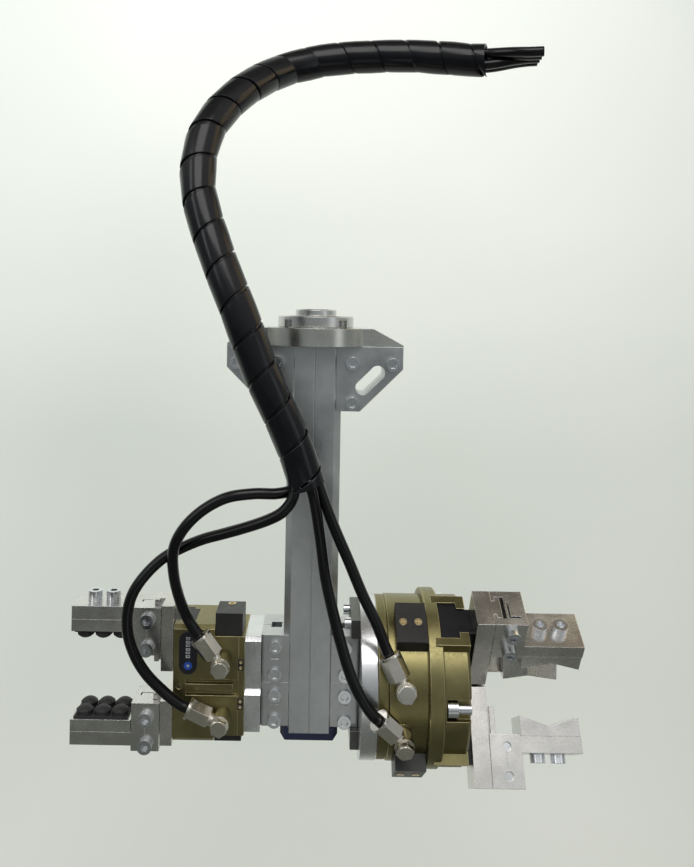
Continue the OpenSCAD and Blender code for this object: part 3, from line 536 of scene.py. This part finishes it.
# The backdrop also glows faintly with this tone, its painted shade included.
back.put(back.b.inputs["Emission Color"], tone)
back.b.inputs["Emission Strength"].default_value = 0.30
verts, faces = [], []
bend, bend_y, bend_z = 0.55, 0.45, -0.25
prof = [(-3.0, -0.80)]
for a in range(21):
    turn = a * math.pi / 40
    prof.append((bend_y + bend * math.sin(turn), bend_z - bend * math.cos(turn)))
prof.append((1.0, 2.6))
for y, z in prof:
    verts += [(-3.2, y, z), (3.2, y, z)]
for i in range(len(prof) - 1):
    faces.append((2 * i, 2 * i + 1, 2 * i + 3, 2 * i + 2))
stage = mesh_object("backdrop", verts, faces, [back.m])


def area(name, loc, aim, size, power, color=(1, 1, 1), size_y=None):
    d = bpy.data.lights.new(name, "AREA")
    d.energy = power
    d.color = color
    d.shape = "RECTANGLE"
    d.size = size
    d.size_y = size_y or size
    o = bpy.data.objects.new(name, d)
    o.location = loc
    o.rotation_euler = (Vector(aim) - Vector(loc)).to_track_quat("-Z", "Y").to_euler()
    bpy.context.scene.collection.objects.link(o)
    return o


area("key", (0.05, -0.95, 1.10), (0.05, 0, -0.25), 0.9, 7.5, (1.0, 0.99, 0.96))
area("side", (-1.1, -1.0, 0.7), (0, 0, -0.1), 0.35, 2.6, (1.0, 1.0, 1.0), 1.2)
area("fill", (1.4, -1.1, 0.0), (0, 0, -0.2), 0.5, 1.2, (0.97, 1.0, 1.0), 1.2)
area("low", (0.2, -0.8, -0.70), (0.1, 0, -0.2), 0.5, 0.3, (0.98, 1.0, 0.98))
area("warm", (0.75, 0.10, 0.45), (0.15, 0, -0.25), 0.5, 0.8, (1.0, 0.72, 0.35))
area("wall", (-0.45, 0.25, 0.85), (-0.45, 1.0, 0.68), 2.2, 6.5, (0.98, 1.0, 0.99), 0.55)

# ---------------------------------------------------------------- world
# Seen in the metal: bright high in front, mid grey at eye level, dark below and above behind.
w = bpy.data.worlds.new("studio")
bpy.context.scene.world = w
w.use_nodes = True
nt = w.node_tree
nt.nodes.clear()
out = nt.nodes.new("ShaderNodeOutputWorld")
bg = nt.nodes.new("ShaderNodeBackground")
tc = nt.nodes.new("ShaderNodeTexCoord")
sep = nt.nodes.new("ShaderNodeSeparateXYZ")
mr = nt.nodes.new("ShaderNodeMapRange")
nt.links.new(tc.outputs["Generated"], sep.inputs[0])
nt.links.new(sep.outputs[2], mr.inputs["Value"])
mr.inputs["From Min"].default_value = -1


def ramp_of(stops):
    """A vertical ramp: each stop is the height from 0 (down) to 1 (up) and a colour."""
    n = nt.nodes.new("ShaderNodeValToRGB")
    while len(n.color_ramp.elements) < len(stops):
        n.color_ramp.elements.new(0.5)
    for e, (pos, col) in zip(n.color_ramp.elements, stops):
        e.position = pos
        e.color = (*col, 1)
    nt.links.new(mr.outputs[0], n.inputs[0])
    return n.outputs[0]


fronts = ramp_of([(0.0, (0.13, 0.14, 0.13)), (0.30, (0.20, 0.21, 0.20)), (0.50, (0.38, 0.41, 0.41)),
                  (0.66, (0.70, 0.72, 0.72)), (0.82, (1.3, 1.3, 1.28)), (0.93, (0.9, 0.88, 0.84)),
                  (1.0, (0.35, 0.32, 0.28))])
backs = ramp_of([(0.0, (0.2, 0.2, 0.19)), (0.45, (0.5, 0.52, 0.5)), (0.70, (0.62, 0.62, 0.58)),
                 (0.86, (0.22, 0.19, 0.15)), (1.0, (0.22, 0.19, 0.15))])
side = nt.nodes.new("ShaderNodeMapRange")
nt.links.new(sep.outputs[1], side.inputs["Value"])
side.inputs["From Min"].default_value = -0.20
side.inputs["From Max"].default_value = 0.20
both = nt.nodes.new("ShaderNodeMix")
both.data_type = "RGBA"
nt.links.new(side.outputs[0], both.inputs[0])
nt.links.new(fronts, both.inputs[6])
nt.links.new(backs, both.inputs[7])
nt.links.new(both.outputs[2], bg.inputs[0])
bg.inputs[1].default_value = 0.6
nt.links.new(bg.outputs[0], out.inputs[0])
bpy.context.scene.view_settings.view_transform = "Standard"
